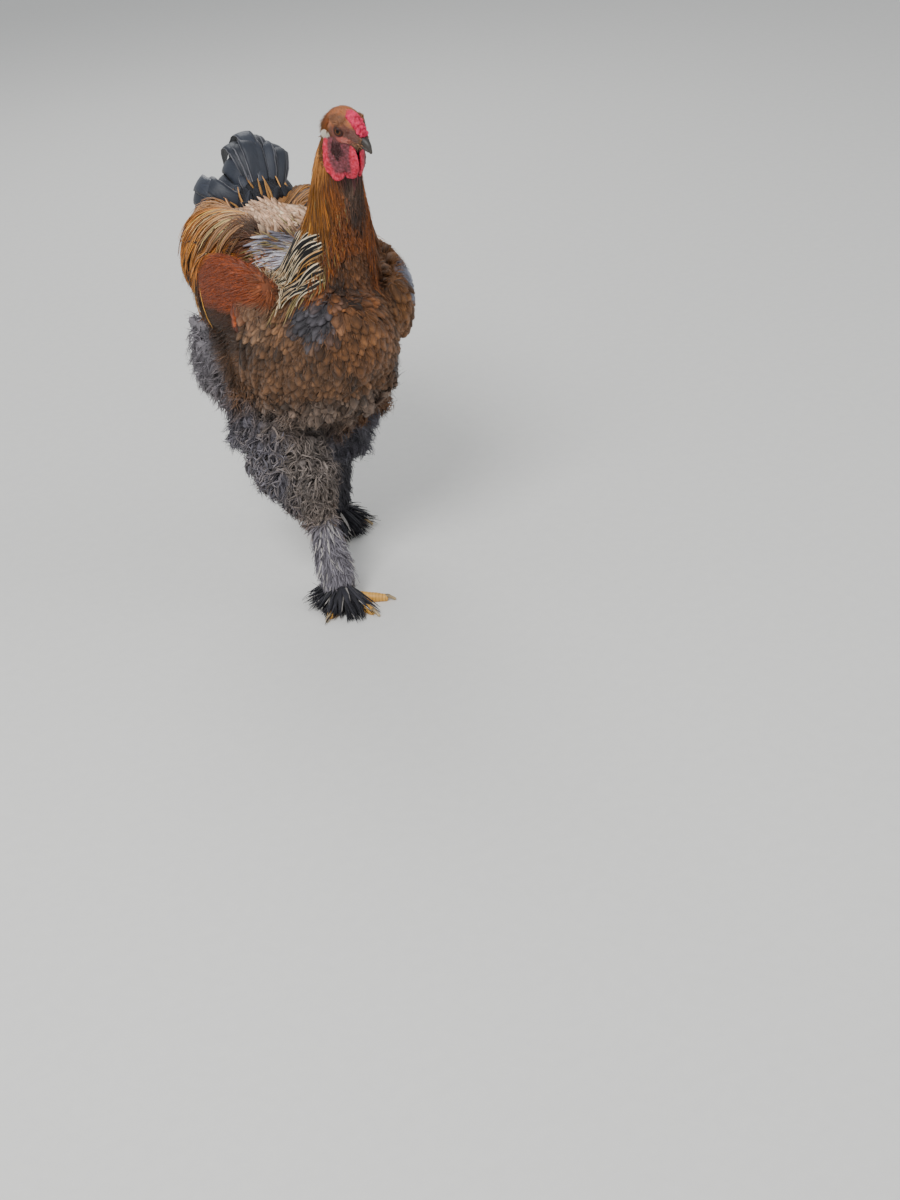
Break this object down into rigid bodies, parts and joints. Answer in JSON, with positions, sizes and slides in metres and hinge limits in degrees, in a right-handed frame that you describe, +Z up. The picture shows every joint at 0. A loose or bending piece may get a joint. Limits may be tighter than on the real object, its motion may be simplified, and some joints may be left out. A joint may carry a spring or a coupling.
{
  "type": "brahma chicken",
  "caption": "Life-size still figure of a Brahma cock striding, with upright neck, pea comb, full hackle and saddle, curled tail and feathered legs and feet.",
  "frame": {"origin": "on the floor, under the middle of the bounding box", "axes": "+Z up, -Y the way the bird walks, +X the bird's left side"},
  "size_m": [0.2988, 0.5124, 0.7136],
  "materials": {
    "body_feather": "soft brown body feather",
    "fluff_feather": "soft grey down",
    "hackle_feather": "golden hackle feather with a dark middle",
    "wing_feather": "red wing feather",
    "tail_feather": "glossy slate black feather",
    "face_skin": "dusky red bare skin",
    "red_skin": "bright red soft skin",
    "ear_down": "cream down",
    "horn": "dark horn",
    "toe_skin": "yellow scaled skin",
    "claw_horn": "brown horn",
    "eyeball": "wet amber eye with a black pupil"
  },
  "bodies": {
    "root": {"beak_lower": "horn", "beak_upper": "horn", "claw_left_hind": "claw_horn", "claw_left_inner": "claw_horn", "claw_left_middle": "claw_horn", "claw_left_outer": "claw_horn", "claw_right_hind": "claw_horn", "claw_right_inner": "claw_horn", "claw_right_middle": "claw_horn", "claw_right_outer": "claw_horn", "comb": "red_skin", "ear_tuft_left": "ear_down", "ear_tuft_right": "ear_down", "earlobe_left": "red_skin", "earlobe_right": "red_skin", "eye_left": "eyeball", "eye_right": "eyeball", "foot_left": "toe_skin", "foot_right": "toe_skin", "head": "face_skin", "neck": "hackle_feather", "saddle_left": "hackle_feather", "saddle_right": "hackle_feather", "shank_left": "fluff_feather", "shank_right": "fluff_feather", "tail": "tail_feather", "thigh_left": "fluff_feather", "thigh_right": "fluff_feather", "torso": "body_feather", "wattle_left": "red_skin", "wattle_right": "red_skin", "wing_left": "wing_feather", "wing_right": "wing_feather"}
  },
  "joints": []
}
